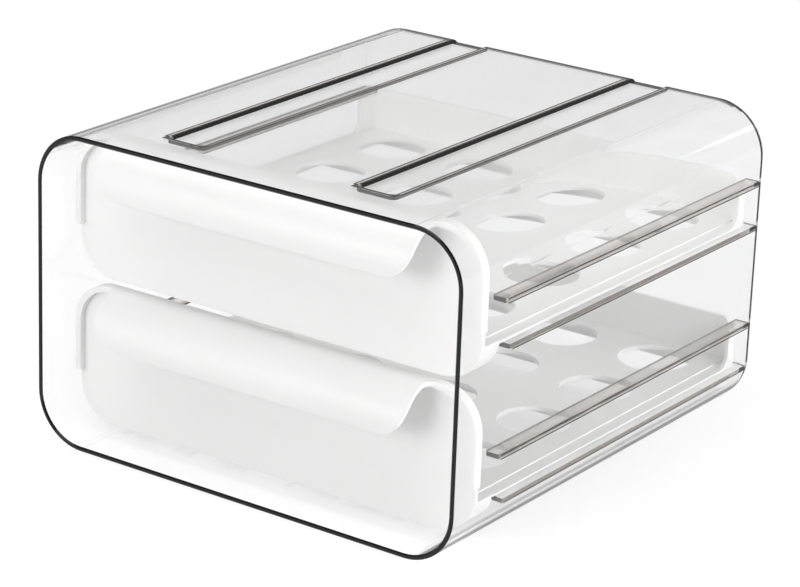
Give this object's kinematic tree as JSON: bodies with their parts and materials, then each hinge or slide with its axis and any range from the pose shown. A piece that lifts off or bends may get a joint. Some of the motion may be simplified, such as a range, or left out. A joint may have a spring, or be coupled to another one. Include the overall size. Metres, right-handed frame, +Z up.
{
  "type": "two-level egg holder",
  "caption": "Clear open-fronted storage case with white pull-out drawers, one above the other, each a flat deck of round egg seats behind a front with a curled handle.",
  "frame": {"origin": "middle of the case's underside, on the surface it stands on", "axes": "+X right, +Y to the back (the open front with the handles faces -Y), +Z up"},
  "size_m": [0.25, 0.27, 0.162],
  "materials": {
    "clear_plastic": "gloss",
    "white_plastic": "satin"
  },
  "bodies": {
    "case": {"case": "clear_plastic"},
    "upper_drawer": {"upper_drawer": "white_plastic"},
    "lower_drawer": {"lower_drawer": "white_plastic"}
  },
  "joints": [
    {"name": "upper_drawer_slide", "type": "slide", "parent": "case", "child": "upper_drawer", "axis": [0, -1, 0], "range_m": [0, 0.19]},
    {"name": "lower_drawer_slide", "type": "slide", "parent": "case", "child": "lower_drawer", "axis": [0, -1, 0], "range_m": [0, 0.19]}
  ]
}
